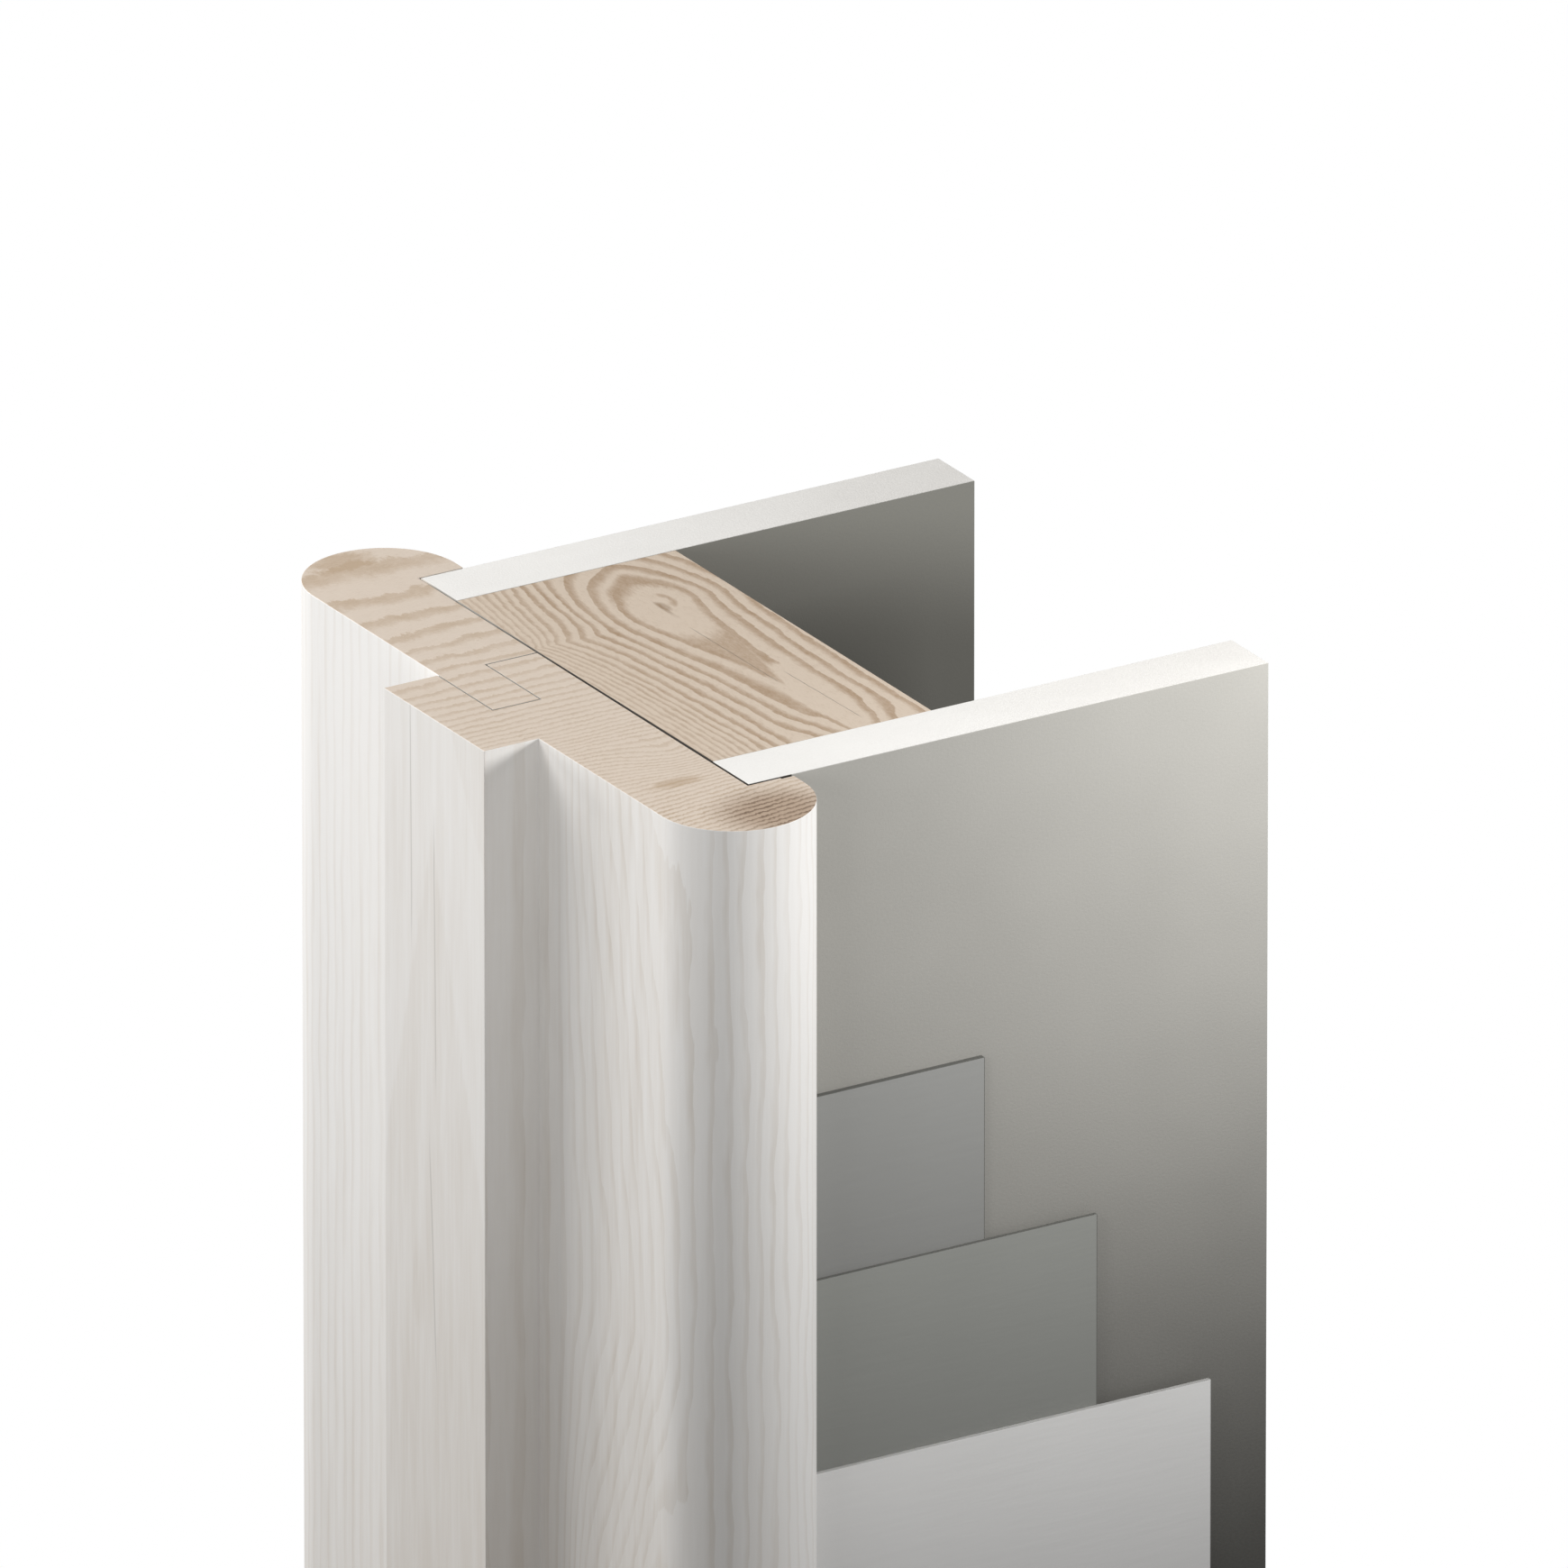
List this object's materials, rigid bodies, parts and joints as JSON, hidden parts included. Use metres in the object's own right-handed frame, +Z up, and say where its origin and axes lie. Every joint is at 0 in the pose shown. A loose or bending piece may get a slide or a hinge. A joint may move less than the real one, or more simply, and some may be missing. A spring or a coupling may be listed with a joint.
{
  "type": "split door jamb sample",
  "caption": "Upright cut-away sample of a split door jamb with round noses and a door stop, wrapped around the end of a stud wall with stepped finishing layers.",
  "frame": {"origin": "on the ground, under the middle of the bounding box", "axes": "+X along the wall, away from the door opening; +Y across the wall, from the face with the finishing layers to the bare one; +Z up"},
  "size_m": [0.1428, 0.1518, 0.22],
  "materials": {
    "jamb_whitewash": "thin white wash over open grain, bare wood on the cut ends",
    "stud_timber": "bare sawn softwood with a knot",
    "board_gypsum": "matt paper faces, chalky white core on the cut edges",
    "layer_grey": "smooth matt grey filler",
    "layer_pale": "smooth matt off-white finish"
  },
  "bodies": {
    "root": {"jamb_far_half": "jamb_whitewash", "jamb_near_half": "jamb_whitewash", "stud": "stud_timber", "wall_board_far": "board_gypsum", "wall_board_near": "board_gypsum", "finish_layer_first": "layer_grey", "finish_layer_second": "layer_grey", "finish_layer_third": "layer_pale"}
  },
  "joints": []
}
